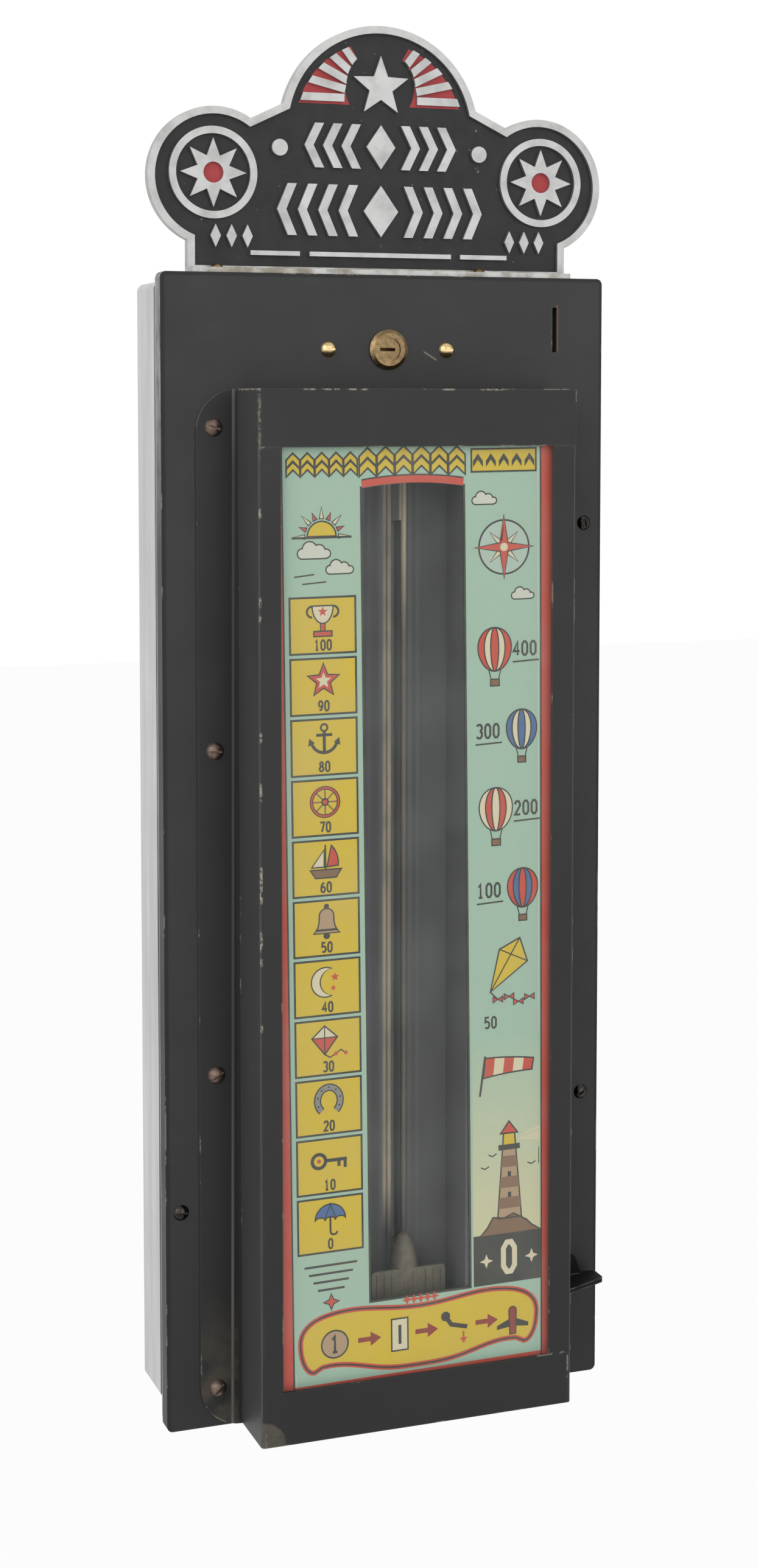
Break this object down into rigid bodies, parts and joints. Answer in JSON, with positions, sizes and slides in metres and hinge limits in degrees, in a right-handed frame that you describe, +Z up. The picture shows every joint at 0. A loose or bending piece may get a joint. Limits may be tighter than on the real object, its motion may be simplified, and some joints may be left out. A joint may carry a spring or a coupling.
{
  "type": "wall-mounted strength tester",
  "caption": "Wall-mounted penny strength tester: a steel box with a drop-down front, a glazed case, a cast crest and a striker that throws a little aeroplane up a slotted track.",
  "frame": {"origin": "middle of the four wall-screw holes, in the plane of the wall", "axes": "+Z up, +Y into the wall, so the glazed front faces -Y and +X is to the player's right"},
  "size_m": [0.236, 0.0797, 0.6865],
  "materials": {
    "black_enamel": "satin",
    "zinc_sheet": "satin",
    "steel_parts": "satin",
    "dark_metal": "matte",
    "brass_parts": "satin",
    "aged_brass": "matte",
    "dull_screws": "satin",
    "cast_alloy": "satin",
    "clear_glass": "gloss",
    "printed_card": "matte",
    "black_rubber": "matte",
    "lever_black": "matte"
  },
  "bodies": {
    "cabinet": {"back_box": "zinc_sheet", "lock_keeper": "steel_parts", "hinge_box_leaf": "steel_parts", "cash_tray": "zinc_sheet"},
    "door": {"front_panel": "black_enamel", "door_frame": "zinc_sheet", "hinge_door_leaf": "steel_parts", "hinge_pin": "steel_parts", "case_left_angle": "black_enamel", "case_right_angle": "black_enamel", "case_top_cap": "black_enamel", "case_bottom_cap": "black_enamel", "glass_pane": "clear_glass", "art_card": "printed_card", "card_retainers": "steel_parts", "track_trough": "dark_metal", "marquee": "cast_alloy", "marquee_screws": "brass_parts", "lock_body": "brass_parts", "lock_plate": "steel_parts", "lock_nut": "brass_parts", "lock_screws": "brass_parts", "flange_screws": "dull_screws", "panel_screws": "dull_screws", "panel_nuts": "steel_parts", "coin_chute": "steel_parts", "coin_deflector": "steel_parts", "guide_rod": "brass_parts", "rod_brackets": "steel_parts", "rod_buffers": "black_rubber", "shaft_bush": "brass_parts", "shaft_bridge": "steel_parts", "spring_post": "steel_parts", "lever_spring": "steel_parts", "lever_stop": "black_rubber", "ratchet_shaft": "steel_parts"},
    "lever": {"strike_lever": "lever_black", "lever_shaft": "steel_parts", "shaft_cap": "lever_black", "drive_arm": "steel_parts"},
    "kicker": {"kicker": "steel_parts"},
    "indicator": {"carriage": "brass_parts", "aeroplane": "aged_brass"},
    "ratchet": {"ratchet_rail": "steel_parts", "trip_arm": "steel_parts"},
    "lock": {"lock_plug": "brass_parts", "lock_cam": "steel_parts", "cam_screw": "steel_parts"}
  },
  "joints": [
    {"name": "door_hinge", "type": "hinge", "parent": "cabinet", "child": "door", "pos_m": [0, -0.0285, -0.2804], "axis": [1, 0, 0], "range_deg": [0, 95]},
    {"name": "strike", "type": "hinge", "parent": "door", "child": "lever", "pos_m": [0.072, -0.041, -0.2339], "axis": [0, 1, 0], "range_deg": [0, 16], "stiffness_Nm_per_rad": 0.5, "springref_deg": -11.46, "deforming": ["lever_spring"]},
    {"name": "kicker_follow", "type": "hinge", "parent": "door", "child": "kicker", "pos_m": [0.072, -0.031, -0.2339], "axis": [0, 1, 0], "range_deg": [0, 16]},
    {"name": "aeroplane_rise", "type": "slide", "parent": "door", "child": "indicator", "axis": [0, 0, 1], "range_m": [0, 0.36]},
    {"name": "rail_rock", "type": "hinge", "parent": "door", "child": "ratchet", "pos_m": [0.026, -0.038, -0.0359], "axis": [0, 0, -1], "range_deg": [0, 12]},
    {"name": "lock_turn", "type": "hinge", "parent": "door", "child": "lock", "pos_m": [0, -0.026, 0.2428], "axis": [0, -1, 0], "range_deg": [0, 90]}
  ],
  "couplings": [
    {"joint": "kicker_follow", "follows": "strike", "ratio": 1}
  ]
}
